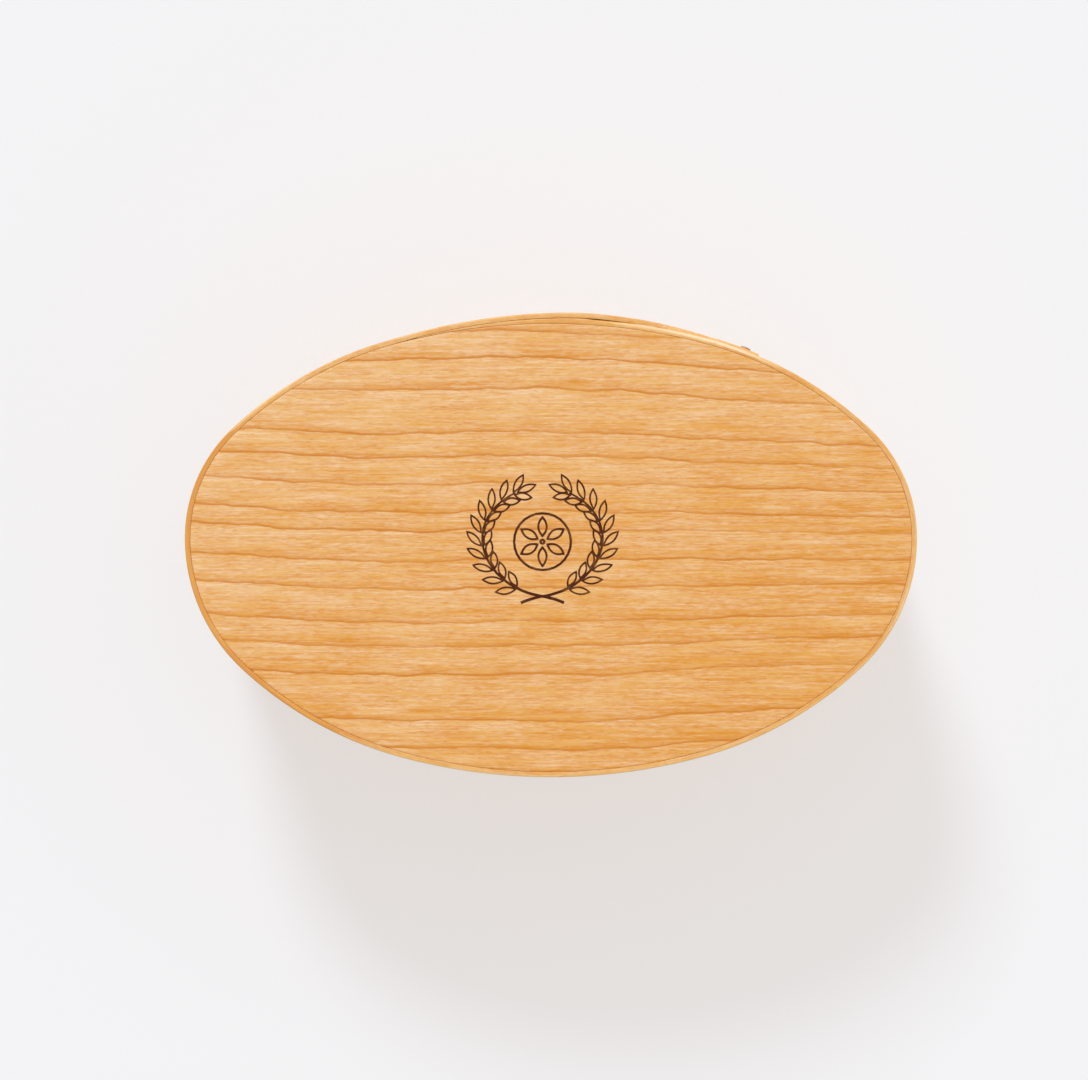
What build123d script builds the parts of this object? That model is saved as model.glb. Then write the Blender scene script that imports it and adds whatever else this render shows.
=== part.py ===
from build123d import *
from math import cos, degrees, radians, sin
import os

# An oval box of bent wood with a lift-off lid. Box and lid are made alike: a thin strip is bent
# round an oval, its ends lapped and tacked through swallowtail fingers, and a solid board is let
# into it and held by wooden pegs. The fingers are in front (-Y) and point to -X.
# Millimetres, with the underside at Z = 0 and the middle of the lid's oval on the Z axis.

# The lid's oval, inside its band: the outline of its board. Tangent arcs make up each quarter of
# it: a side, a shoulder and an end.
LID_LENGTH = 178.0
LID_WIDTH = 110.6
ENDS_FORWARD = 2.4  # its ends lie this far in front of the middle, so the front is the flatter side
SIDE_TURN = 15.0  # degrees that the oval turns from the middle of a side to the shoulder's arc
SHOULDER_TURN = 43.0  # and from the middle of the side to the end's arc
SHOULDER_SHARE = 0.5  # where the shoulder's radius lies, from the end's to the side's

# Heights and thicknesses.
LID_BAND_HEIGHT = 20.5
BOX_BAND_HEIGHT = 65.0
LID_BOARD_THICKNESS = 6.0
BOX_BOARD_THICKNESS = 6.0
STRIP_THICKNESS = 1.3
BOARD_EDGE_BREAK = 0.3  # a small chamfer round each board

# Fits.
LAYER_GAP = 0.1  # play between the two layers of a lap
LID_CLEARANCE = 0.3  # between the box's band and the inside of the lid's

# The lap, as distances along the band from the middle of the front, towards +X.
FINGER_TIPS = -52.0
FINGER_LENGTH = 26.0
HOLLOW_START = -10.0  # from here to the row of tacks, the outer layer stands off the inner one
HOLLOW_DEPTH = 0.2
HEEL_LENGTH = 2.5  # the inner layer swells over this length to meet the outer one
FEATHER_LENGTH = 43.0  # from the hollow to the thin edge that the inner layer is planed to
RISE_LENGTH = 53.0  # from the hollow to where the outer layer lies on the oval again
BLEND = 0.15  # the share of each slope that is rounded in, at either end

# Swallowtail fingers.
BOX_FINGERS = 3
LID_FINGERS = 1
BOX_FINGER_TIP = 7.0
LID_FINGER_TIP = 8.0
FINGER_BEVEL = 0.4  # how far the bevelled sides spread through the strip's thickness
SHOULDER_SLANT = 4.0  # above the box's top finger the lap's end leans back this far

# Copper tacks, driven through both layers and turned over inside.
TACK_HEAD_RADIUS = 1.35
TACK_HEAD_HEIGHT = 0.65
TACK_HEAD_FLARE = 0.3  # how much smaller the head is on top
TACK_SHANK_WIDTH = 0.8  # cut tacks are square below the head
CLINCH_LENGTH = 1.6  # from the shank to the end of the turned-over point
CLINCH_WIDTH = 0.8
CLINCH_DEPTH = 0.2
CLINCH_PROUD = 0.05
TIP_TACK_INSET = 3.5  # from the end of the finger
BASE_TACK_INSET = 7.0  # from the point of the notch, into the finger
ROW_TACK_SETBACK = 4.0  # from the point of the notch, into the lap
BOX_ROW_TACKS = 5
LID_ROW_TACKS = 2
LID_ROW_SPREAD = 8.0

# Whittled pegs, through each band into the edge of its board.
PEG_COUNT = 10
PEG_WIDTH = 1.8  # between opposite sides of the eight that they are whittled to
PEG_DEPTH = 9.0
PEG_PROUD = 0.05
PEG_SETBACK = 6.0  # between the fingers and the nearest pegs

# Construction: points on each slope, and how far cutters pass their work.
SLOPE_POINTS = 6
OVERCUT = 1.5

LAP_RISE = STRIP_THICKNESS + LAYER_GAP
HOLLOW_RISE = LAP_RISE + HOLLOW_DEPTH
NOTCH_POINT = FINGER_TIPS + FINGER_LENGTH
TACK_ROW = NOTCH_POINT + ROW_TACK_SETBACK
HOLLOW_END = TACK_ROW + 1.5 * TACK_HEAD_RADIUS
HEEL_END = HOLLOW_START + HEEL_LENGTH
FEATHER_EDGE = HOLLOW_START + FEATHER_LENGTH
RISE_START = HOLLOW_START + RISE_LENGTH
LID_BASE = BOX_BAND_HEIGHT + LID_BOARD_THICKNESS - LID_BAND_HEIGHT


def slope(share):
    """From 0 to 1 in a straight line that is rounded in, level, at both ends."""
    if share <= 0 or share >= 1:
        return float(share >= 1)
    if share > 0.5:
        return 1 - slope(1 - share)
    if share < BLEND:
        return share**2 / (2 * BLEND * (1 - BLEND))
    return (share - BLEND / 2) / (1 - BLEND)


def outer_layer_rise(place):
    """How far the inside of the strip's outer layer lies off the oval."""
    risen = HOLLOW_RISE * slope((RISE_START - place) / RISE_LENGTH)
    return risen - HOLLOW_DEPTH * slope((HOLLOW_START - place) / (HOLLOW_START - HOLLOW_END))


def outside_rise(place):
    return outer_layer_rise(place) + STRIP_THICKNESS


def inner_layer_rise(place):
    """How far the outside of the strip's inner layer lies off the oval, to its feathered edge."""
    pressed = outer_layer_rise(place) - LAYER_GAP
    heel = slope((place - HOLLOW_START) / HEEL_LENGTH)
    return STRIP_THICKNESS + (pressed - STRIP_THICKNESS) * heel


def outward(angle):
    """The unit vector at an angle in degrees from +X."""
    return Vector(cos(radians(angle)), sin(radians(angle)))


class Oval:
    """A closed oval of tangent arcs, with its ends level with each other.

    Places along it are distances from the middle of the front, towards +X. An offset is a
    distance outside it. Front and back say how far those sides lie from the line between its ends.
    """

    def __init__(self, half_length, front, back):
        front_quarter = quarter_arcs(half_length, front)
        (side_radius, side_turn), *rest = quarter_arcs(half_length, back)
        back_side = (side_radius, 2 * side_turn)
        self.arcs = []
        self.length = 0.0
        angle = -90.0
        point = Vector(0, -front - ENDS_FORWARD)
        for radius, turn in (*front_quarter, *rest[::-1], back_side, *rest, *front_quarter[::-1]):
            centre = point - outward(angle) * radius
            start = self.length
            self.length += radius * radians(turn)
            self.arcs.append(
                {"centre": centre, "radius": radius, "angle": angle, "start": start, "stop": self.length}
            )
            angle += turn
            point = centre + outward(angle) * radius

    def arc_at(self, place):
        place %= self.length
        return next(arc for arc in self.arcs if place <= arc["stop"])

    def facing(self, place):
        """The direction in which the oval faces outwards."""
        arc = self.arc_at(place)
        return outward(arc["angle"] + degrees((place % self.length - arc["start"]) / arc["radius"]))

    def at(self, place, offset=0.0):
        arc = self.arc_at(place)
        return arc["centre"] + self.facing(place) * (arc["radius"] + offset)

    def run(self, start, stop, offset=0.0):
        """The arcs that follow the oval at one offset, from one place to another."""
        low, high = sorted((start, stop))
        joints = {arc["start"] + turn * self.length for arc in self.arcs[1:] for turn in (-1, 0, 1)}
        places = [low, *sorted(place for place in joints if low < place < high), high]
        if stop < start:
            places.reverse()
        return [
            ThreePointArc(self.at(a, offset), self.at((a + b) / 2, offset), self.at(b, offset))
            for a, b in zip(places, places[1:])
        ]

    def loop(self, offset=0.0):
        start = self.arcs[1]["start"]
        return self.run(start, start + self.length, offset)

    def slant(self, start, stop, rise):
        """The smooth line between two places whose offset is a function of the place."""
        step = (stop - start) / SLOPE_POINTS
        places = [start + step * k for k in range(SLOPE_POINTS + 1)]
        points = [self.at(place, rise(place)) for place in places]
        nudge = step / 100
        before = self.at(start - nudge, rise(start - nudge))
        after = self.at(stop + nudge, rise(stop + nudge))
        return Spline(*points, tangents=[points[0] - before, after - points[-1]])

    def stand(self, place, offset, level):
        """A plane that stands on the oval: X along the band, Y up and Z outwards."""
        facing = self.facing(place)
        along = facing.rotate(Axis.Z, 90)
        return Plane(origin=self.at(place, offset) + Vector(0, 0, level), x_dir=along, z_dir=facing)


def quarter_arcs(half_length, depth):
    """The (radius, turn in degrees) of the arcs from the middle of a side to the end of the oval.

    The shoulder's radius is a share of the side's and of the end's, so that the quarter's length
    and depth are two sums of those two radii, which are solved for them here.
    """
    first, last = outward(90 - SIDE_TURN), outward(90 - SHOULDER_TURN)
    step = last - first
    side_run = first.X + SHOULDER_SHARE * step.X
    end_run = 1 - side_run
    side_drop = 1 - first.Y - SHOULDER_SHARE * step.Y
    end_drop = 1 - side_drop
    scale = side_run * end_drop - end_run * side_drop
    side = (half_length * end_drop - depth * end_run) / scale
    end = (depth * side_run - half_length * side_drop) / scale
    shoulder = SHOULDER_SHARE * side + (1 - SHOULDER_SHARE) * end
    return (side, SIDE_TURN), (shoulder, SHOULDER_TURN - SIDE_TURN), (end, 90 - SHOULDER_TURN)


def lid_oval():
    """The oval inside the lid's band."""
    return Oval(LID_LENGTH / 2, LID_WIDTH / 2 - ENDS_FORWARD, LID_WIDTH / 2 + ENDS_FORWARD)


def box_oval():
    """The oval inside the box's band, which leaves room for the box's lap inside the lid."""
    inset = STRIP_THICKNESS + LID_CLEARANCE
    front = LID_WIDTH / 2 - ENDS_FORWARD - inset - HOLLOW_RISE
    return Oval(LID_LENGTH / 2 - inset, front, LID_WIDTH / 2 + ENDS_FORWARD - inset)


def slab(outline, low, high):
    return Pos(0, 0, low) * extrude(Face(Wire(outline)), high - low, dir=(0, 0, 1))


def strip_outline(oval):
    """The bent strip from above, from its feathered end round the oval to its fingers and back."""
    turn = oval.length
    feather = inner_layer_rise(FEATHER_EDGE)
    return [
        *oval.run(FEATHER_EDGE, RISE_START - turn),
        oval.slant(RISE_START, HOLLOW_START, outer_layer_rise),
        oval.slant(HOLLOW_START, HOLLOW_END, outer_layer_rise),
        *oval.run(HOLLOW_END, FINGER_TIPS, LAP_RISE),
        Line(oval.at(FINGER_TIPS, LAP_RISE), oval.at(FINGER_TIPS, LAP_RISE + STRIP_THICKNESS)),
        *oval.run(FINGER_TIPS, HOLLOW_END, LAP_RISE + STRIP_THICKNESS),
        oval.slant(HOLLOW_END, HOLLOW_START, outside_rise),
        oval.slant(HOLLOW_START, RISE_START, outside_rise),
        *oval.run(RISE_START, HOLLOW_START + turn, STRIP_THICKNESS),
        oval.slant(HOLLOW_START, HEEL_END, inner_layer_rise),
        oval.slant(HEEL_END, FEATHER_EDGE, inner_layer_rise),
        Line(oval.at(FEATHER_EDGE, feather), oval.at(FEATHER_EDGE)),
    ]


def notch_profile(half_width, spread):
    """The pointed arch between two fingers, from their tips at X = 0, with its sides spread out."""
    radius = (FINGER_LENGTH**2 + half_width**2) / (2 * half_width) + spread
    drop = radius - half_width - spread
    point = (radius**2 - drop**2) ** 0.5
    bulge = (radius**2 - point**2 / 4) ** 0.5 - drop
    side = half_width + spread
    outline = [
        Line((-OVERCUT, -side), (-OVERCUT, side)),
        Line((-OVERCUT, side), (0, side)),
        ThreePointArc((0, side), (point / 2, bulge), (point, 0)),
        ThreePointArc((point, 0), (point / 2, -bulge), (0, -side)),
        Line((0, -side), (-OVERCUT, -side)),
    ]
    return Face(Wire(outline))


def notch_cutter(oval, level, half_width):
    """What is cut away between two fingers, its sides bevelled through the outer layer."""
    sections = []
    for offset in (LAP_RISE - OVERCUT, LAP_RISE + STRIP_THICKNESS + OVERCUT):
        spread = FINGER_BEVEL * (offset - LAP_RISE) / STRIP_THICKNESS
        stand = oval.stand(FINGER_TIPS + FINGER_LENGTH / 2, offset, level)
        sections.append(stand * Pos(-FINGER_LENGTH / 2, 0, 0) * notch_profile(half_width, spread))
    return loft(sections, ruled=True)


def shoulder_cutter(oval, low, high):
    """What is cut away above the box's top finger, where the lid comes down over the lap."""
    tips, point, top = -FINGER_LENGTH / 2 - OVERCUT, FINGER_LENGTH / 2, high + OVERCUT
    lean = SHOULDER_SLANT * (top - low) / (high - low)
    outline = Polyline((tips, low), (point, low), (point + lean, top), (tips, top), close=True)
    stand = oval.stand(FINGER_TIPS + FINGER_LENGTH / 2, LAP_RISE - OVERCUT, 0)
    return extrude(stand * Face(Wire(outline.edges())), STRIP_THICKNESS + 2 * OVERCUT)


def make_band(oval, base, height, fingers, finger_room, finger_tip, holes):
    """The bent strip, with notches cut in its outer layer alone."""
    pitch = finger_room / fingers
    half_width = (pitch - finger_tip) / 2
    cutters = [notch_cutter(oval, base + k * pitch, half_width) for k in range(fingers + 1)]
    if finger_room < height:
        cutters.append(shoulder_cutter(oval, base + finger_room, base + height))
    under_lap = slab(oval.loop(STRIP_THICKNESS + LAYER_GAP / 2), base - pitch, base + height + pitch)
    strip = slab(strip_outline(oval), base, base + height)
    strip -= [cutter - under_lap for cutter in cutters]
    return strip - holes


def make_board(oval, base, thickness, pegs):
    board = slab(oval.loop(), base, base + thickness)
    rims = board.edges().group_by(Axis.Z)
    board = chamfer(rims[0] + rims[-1], BOARD_EDGE_BREAK)
    return board - pegs


def make_shank(above):
    """A tack below its head, driven down from Z = 0 through a lap, its point turned over inside."""
    length = LAP_RISE + STRIP_THICKNESS
    shank = extrude(Pos(0, 0, -length) * Rectangle(TACK_SHANK_WIDTH, CLINCH_WIDTH), length + above)
    half_width = CLINCH_WIDTH / 2
    taper = CLINCH_LENGTH - CLINCH_WIDTH
    point = Polyline(
        (0, half_width), (taper, half_width), (CLINCH_LENGTH, 0), (taper, -half_width),
        (0, -half_width), close=True,
    )
    flat = Pos(0, 0, -length - CLINCH_PROUD) * Face(Wire(point.edges()))
    return shank + extrude(flat, CLINCH_DEPTH + CLINCH_PROUD, dir=(0, 0, 1))


def make_tack():
    top = TACK_HEAD_RADIUS - TACK_HEAD_FLARE
    return Pos(0, 0, TACK_HEAD_HEIGHT / 2) * Cone(TACK_HEAD_RADIUS, top, TACK_HEAD_HEIGHT) + make_shank(0)


def set_in(oval, piece, spots):
    """Copies of a piece on the outside of the lap, at (place along the band, level) pairs."""
    outside = LAP_RISE + STRIP_THICKNESS
    return [oval.stand(place, outside, level).location * piece for place, level in spots]


def make_pegs(oval, level):
    """Pegs spaced evenly round the band, clear of its fingers, that end just proud of it."""
    pegs = []
    last = FINGER_TIPS - PEG_SETBACK + oval.length
    for place in spread(NOTCH_POINT + PEG_SETBACK, last, PEG_COUNT):
        blank = RegularPolygon(PEG_WIDTH / 2, 8, major_radius=False)
        length = PEG_DEPTH + outside_rise(place) + PEG_PROUD
        pegs.append(extrude(oval.stand(place, -PEG_DEPTH, level) * blank, length))
    return pegs


def spread(low, high, count):
    return [low + (high - low) * k / (count - 1) for k in range(count)]


def finger_levels(base, fingers, finger_room):
    return [base + (k + 0.5) * finger_room / fingers for k in range(fingers)]


def save_half(name, oval, base, height, fingers, finger_room, finger_tip, row, board_base, thickness):
    """Box or lid: a band, its board, and the tacks and pegs that hold them, a file for each."""
    levels = finger_levels(base, fingers, finger_room)
    tips = [(FINGER_TIPS + TIP_TACK_INSET, level) for level in levels]
    bases = [(NOTCH_POINT - BASE_TACK_INSET, level) for level in levels]
    rows = [(TACK_ROW, level) for level in row]
    pegs = make_pegs(oval, board_base + thickness / 2)
    holes = set_in(oval, make_shank(OVERCUT), [*tips, *bases, *rows]) + pegs
    tack = make_tack()
    pieces = {
        "band": [make_band(oval, base, height, fingers, finger_room, finger_tip, holes)],
        "board": [make_board(oval, board_base, thickness, pegs)],
        "finger_tip_tacks": set_in(oval, tack, tips),
        "finger_base_tacks": set_in(oval, tack, bases),
        "lap_row_tacks": set_in(oval, tack, rows),
        "board_pegs": pegs,
    }
    for piece, solids in pieces.items():
        export_step(Compound(children=solids), f"parts/{name}_{piece}.step")


def main():
    os.makedirs("parts", exist_ok=True)
    box_levels = finger_levels(0, BOX_FINGERS, LID_BASE)
    box_row = spread(box_levels[0], box_levels[-1], BOX_ROW_TACKS)
    save_half(
        "box", box_oval(), 0, BOX_BAND_HEIGHT, BOX_FINGERS, LID_BASE, BOX_FINGER_TIP, box_row,
        0, BOX_BOARD_THICKNESS,
    )
    lid_middle = LID_BASE + LID_BAND_HEIGHT / 2
    lid_row = spread(lid_middle - LID_ROW_SPREAD / 2, lid_middle + LID_ROW_SPREAD / 2, LID_ROW_TACKS)
    save_half(
        "lid", lid_oval(), LID_BASE, LID_BAND_HEIGHT, LID_FINGERS, LID_BAND_HEIGHT, LID_FINGER_TIP,
        lid_row, BOX_BAND_HEIGHT, LID_BOARD_THICKNESS,
    )


main()
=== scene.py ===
"""An oval box of bent cherry wood with a lift-off lid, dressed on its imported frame."""

import math

import bmesh
import bpy
from mathutils import Matrix, Vector, noise


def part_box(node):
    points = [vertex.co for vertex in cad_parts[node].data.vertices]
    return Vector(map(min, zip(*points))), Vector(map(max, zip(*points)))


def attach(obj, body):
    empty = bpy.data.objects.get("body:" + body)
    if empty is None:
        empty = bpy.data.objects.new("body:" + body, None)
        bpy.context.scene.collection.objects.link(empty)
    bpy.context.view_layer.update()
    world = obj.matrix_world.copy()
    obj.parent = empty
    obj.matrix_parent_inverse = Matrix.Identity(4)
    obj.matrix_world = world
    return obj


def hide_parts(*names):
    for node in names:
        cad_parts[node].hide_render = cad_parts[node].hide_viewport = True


bl_info = {
    "name": "Oval bentwood box",
    "version": (1, 0, 0),
    "blender": (4, 5, 0),
    "location": "View3D > Sidebar > Oval box",
    "description": "Builds the bands, boards, tacks, pegs and burned ornament of an oval box",
    "category": "Add Mesh",
}

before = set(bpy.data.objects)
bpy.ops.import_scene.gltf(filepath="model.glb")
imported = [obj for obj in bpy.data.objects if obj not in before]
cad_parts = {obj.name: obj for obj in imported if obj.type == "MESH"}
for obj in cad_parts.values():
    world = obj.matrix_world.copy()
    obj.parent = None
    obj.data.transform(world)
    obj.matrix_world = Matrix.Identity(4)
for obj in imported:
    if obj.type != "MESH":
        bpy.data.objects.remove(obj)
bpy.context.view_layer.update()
MM = 0.001

# Heights and the outline of the lid's board, from the frame.
BOX_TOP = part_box("box_band")[1].z
LID_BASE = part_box("lid_band")[0].z
LID_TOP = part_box("lid_band")[1].z
LID_BOARD_LOW, LID_BOARD_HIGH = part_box("lid_board")
BOX_BOARD_LOW, BOX_BOARD_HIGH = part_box("box_board")

# How many there are of what repeats.
BOX_FINGERS = 3
LID_FINGERS = 1
BOX_ROW_TACKS = 5
PEG_COUNT = 10

# How finely a strip is cut up, before its fingers and along them, and a board round its rim.
STRIP_COLUMNS = 420
FINGER_COLUMNS = 52
BOARD_POINTS = 640

# Points closer than this are in the same place.
NEAR = 0.01 * MM

# Edges flatter than the first are shaded smooth, and edges sharper than the second are rounded off.
SMOOTH_BELOW = math.radians(48)
SHARP_ABOVE = math.radians(50)

# How far the grain wanders from a straight line in a board and in a strip.
BOARD_SWAY = 9 * MM
STRIP_SWAY = 5 * MM

# The grain of a strip follows it round the oval, in this attribute: along, across, through.
STRIP_GRAIN = "strip_grain"

# Heights of the growth lines across each piece, in millimetres.
LID_BOARD_LINES = (
    -52.0, -45.6, -38.2, -27.9, -22.2, -15.8, -9.1, -4.7, 2.5, 9.1, 17.3, 23.2, 30.3, 41.9, 49.1, 56.0,
)
BOX_BOARD_LINES = (-49.0, -40.5, -33.0, -21.5, -12.0, -3.5, 7.5, 13.0, 22.5, 34.0, 39.5, 50.0)
BOX_BAND_LINES = (3.5, 11.0, 16.5, 27.0, 32.5, 41.0, 52.0, 58.5)
LID_BAND_LINES = (52.2, 56.6, 61.4)


class OvalBoxSizes(bpy.types.PropertyGroup):
    """The sizes of the bent strips and of what fastens them."""

    strip: bpy.props.FloatProperty(
        name="Strip thickness", description="Thickness of the bent wood",
        default=1.3 * MM, unit="LENGTH",
    )
    ends_forward: bpy.props.FloatProperty(
        name="Ends forward", description="How far the oval's ends lie in front of its middle",
        default=2.4 * MM, unit="LENGTH",
    )
    side_turn: bpy.props.FloatProperty(
        name="Side turn", description="From the middle of a side to the arc of the shoulder",
        default=math.radians(15), subtype="ANGLE",
    )
    shoulder_turn: bpy.props.FloatProperty(
        name="Shoulder turn", description="From the middle of a side to the arc of the end",
        default=math.radians(43), subtype="ANGLE",
    )
    shoulder_share: bpy.props.FloatProperty(
        name="Shoulder share", description="Where a shoulder's radius lies, from the end's to the side's",
        default=0.5,
    )
    layer_gap: bpy.props.FloatProperty(
        name="Layer gap", description="Play between the two layers of a lap",
        default=0.02 * MM, unit="LENGTH",
    )
    lid_clearance: bpy.props.FloatProperty(
        name="Lid clearance", description="Play between the box's band and the lid's",
        default=0.3 * MM, unit="LENGTH",
    )
    finger_tips: bpy.props.FloatProperty(
        name="Finger tips", description="Place of the fingers' ends along the band",
        default=-52 * MM, unit="LENGTH",
    )
    finger_length: bpy.props.FloatProperty(
        name="Finger length", description="From a finger's end to the point of the notch",
        default=26 * MM, unit="LENGTH",
    )
    box_finger_tip: bpy.props.FloatProperty(
        name="Box finger width", description="Width of each of the box's fingers at its end",
        default=7 * MM, unit="LENGTH",
    )
    lid_finger_tip: bpy.props.FloatProperty(
        name="Lid finger width", description="Width of the lid's finger at its end",
        default=8 * MM, unit="LENGTH",
    )
    finger_bevel: bpy.props.FloatProperty(
        name="Finger bevel", description="How far the sides of a finger slope inwards",
        default=0.4 * MM, unit="LENGTH",
    )
    shoulder_slant: bpy.props.FloatProperty(
        name="Shoulder slant", description="How far the lap's end leans back under the lid",
        default=4 * MM, unit="LENGTH",
    )
    hollow_start: bpy.props.FloatProperty(
        name="Hollow start", description="Where the two layers begin to stand apart",
        default=-10 * MM, unit="LENGTH",
    )
    hollow_end: bpy.props.FloatProperty(
        name="Hollow end", description="Where the tacks draw the two layers together again",
        default=-20 * MM, unit="LENGTH",
    )
    hollow_depth: bpy.props.FloatProperty(
        name="Hollow depth", description="How far the two layers stand apart",
        default=0.2 * MM, unit="LENGTH",
    )
    heel_length: bpy.props.FloatProperty(
        name="Heel length", description="Over this length the inner layer swells to meet the outer",
        default=2.5 * MM, unit="LENGTH",
    )
    feather_length: bpy.props.FloatProperty(
        name="Feather length", description="From the hollow to the inner layer's thin edge",
        default=43 * MM, unit="LENGTH",
    )
    rise_length: bpy.props.FloatProperty(
        name="Rise length", description="From the hollow to where the strip lies single again",
        default=53 * MM, unit="LENGTH",
    )
    finger_thinning: bpy.props.FloatProperty(
        name="Finger thinning", description="How much thinner the fingers are shaved at their ends",
        default=0.42 * MM, unit="LENGTH",
    )
    lap_sanding: bpy.props.FloatProperty(
        name="Lap sanding", description="How far a band's upper edge is sanded down at the lap",
        default=0.4 * MM, unit="LENGTH",
    )
    edge_round: bpy.props.FloatProperty(
        name="Edge rounding", description="Radius of the sanded outer edges of the strips",
        default=0.36 * MM, unit="LENGTH",
    )
    edge_ease: bpy.props.FloatProperty(
        name="Edge easing", description="Radius of the strips' inner edges",
        default=0.12 * MM, unit="LENGTH",
    )
    seam: bpy.props.FloatProperty(
        name="Seam", description="Gap between a board and its band",
        default=0.01 * MM, unit="LENGTH",
    )
    tip_tack: bpy.props.FloatProperty(
        name="Tip tack", description="From the end of a finger to its tack",
        default=3.5 * MM, unit="LENGTH",
    )
    base_tack: bpy.props.FloatProperty(
        name="Base tack", description="From the notch to the tack at the base of a finger",
        default=7 * MM, unit="LENGTH",
    )
    tack_row: bpy.props.FloatProperty(
        name="Row of tacks", description="From the notch to the row of tacks in the lap",
        default=4 * MM, unit="LENGTH",
    )
    tack_radius: bpy.props.FloatProperty(
        name="Tack radius", description="Radius of a tack's head",
        default=1.35 * MM, unit="LENGTH",
    )
    tack_height: bpy.props.FloatProperty(
        name="Tack height", description="Height of the head of a tack at a finger's end",
        default=0.65 * MM, unit="LENGTH",
    )
    lap_tack_height: bpy.props.FloatProperty(
        name="Lap tack height", description="Height of the heads further back, hammered down flatter",
        default=0.3 * MM, unit="LENGTH",
    )
    shank: bpy.props.FloatProperty(
        name="Shank", description="Width of a tack below its head",
        default=0.8 * MM, unit="LENGTH",
    )
    clinch: bpy.props.FloatProperty(
        name="Clinch", description="Length of a tack's point, turned over inside",
        default=1.6 * MM, unit="LENGTH",
    )
    lid_row_spread: bpy.props.FloatProperty(
        name="Lid row spread", description="Between the two tacks of the lid's row",
        default=8 * MM, unit="LENGTH",
    )
    peg_width: bpy.props.FloatProperty(
        name="Peg width", description="Between opposite sides of a peg",
        default=1.8 * MM, unit="LENGTH",
    )
    peg_depth: bpy.props.FloatProperty(
        name="Peg depth", description="How far a peg goes into its board",
        default=9 * MM, unit="LENGTH",
    )
    peg_setback: bpy.props.FloatProperty(
        name="Peg setback", description="Between the fingers and the nearest pegs",
        default=6 * MM, unit="LENGTH",
    )
    wreath_size: bpy.props.FloatVectorProperty(
        name="Wreath size", description="Length and height of the wreath's two stems",
        default=(34 * MM, 27 * MM), size=2, unit="LENGTH",
    )
    wreath_centre: bpy.props.FloatVectorProperty(
        name="Wreath centre", description="Where the wreath lies on the lid",
        default=(2.1 * MM, -1.5 * MM), size=2, unit="LENGTH",
    )
    burned_line: bpy.props.FloatProperty(
        name="Burned line", description="Width of the burned lines",
        default=0.6 * MM, unit="LENGTH",
    )


class OvalBoxColours(bpy.types.PropertyGroup):
    """The colours of the wood, the copper and the burned lines."""

    pale_fibre: bpy.props.FloatVectorProperty(
        name="Pale fibres", description="The palest fibres of the boards",
        default=(0.920, 0.625, 0.352), subtype="COLOR", size=3,
    )
    deep_fibre: bpy.props.FloatVectorProperty(
        name="Deep fibres", description="The deepest fibres of the boards",
        default=(0.735, 0.275, 0.014), subtype="COLOR", size=3,
    )
    pale_strip: bpy.props.FloatVectorProperty(
        name="Pale strips", description="The palest fibres of the bent strips",
        default=(0.905, 0.605, 0.285), subtype="COLOR", size=3,
    )
    deep_strip: bpy.props.FloatVectorProperty(
        name="Deep strips", description="The deepest fibres of the bent strips",
        default=(0.740, 0.315, 0.064), subtype="COLOR", size=3,
    )
    # Painted highlight: a cream sheen for the key light on the inner layer's rounded edge beside the lid's
    # finger.
    painted_sheen: bpy.props.FloatVectorProperty(
        name="Sanded edge", description="The bared edge of the inner layer beside the lid's finger",
        default=(0.940, 0.690, 0.425), subtype="COLOR", size=3,
    )
    honey: bpy.props.FloatVectorProperty(
        name="Honey", description="The yellowest fibres",
        default=(0.840, 0.445, 0.095), subtype="COLOR", size=3,
    )
    strip_line: bpy.props.FloatVectorProperty(
        name="Growth lines of strips", description="The last wood of each year in the bent strips",
        default=(0.660, 0.265, 0.045), subtype="COLOR", size=3,
    )
    growth_line: bpy.props.FloatVectorProperty(
        name="Growth lines", description="The last wood of each year in the boards",
        default=(0.640, 0.210, 0.012), subtype="COLOR", size=3,
    )
    pore: bpy.props.FloatVectorProperty(
        name="Pores", description="Short dark pores",
        default=(0.330, 0.130, 0.040), subtype="COLOR", size=3,
    )
    peg: bpy.props.FloatVectorProperty(
        name="Pegs", description="End grain of the pegs",
        default=(0.360, 0.165, 0.060), subtype="COLOR", size=3,
    )
    copper: bpy.props.FloatVectorProperty(
        name="Copper", description="Bare copper of the tacks",
        default=(0.690, 0.300, 0.150), subtype="COLOR", size=3,
    )
    tarnish: bpy.props.FloatVectorProperty(
        name="Tarnish", description="Tarnished copper",
        default=(0.380, 0.150, 0.070), subtype="COLOR", size=3,
    )
    burn: bpy.props.FloatVectorProperty(
        name="Burned lines", description="Charred wood",
        default=(0.076, 0.017, 0.005), subtype="COLOR", size=3,
    )


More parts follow.
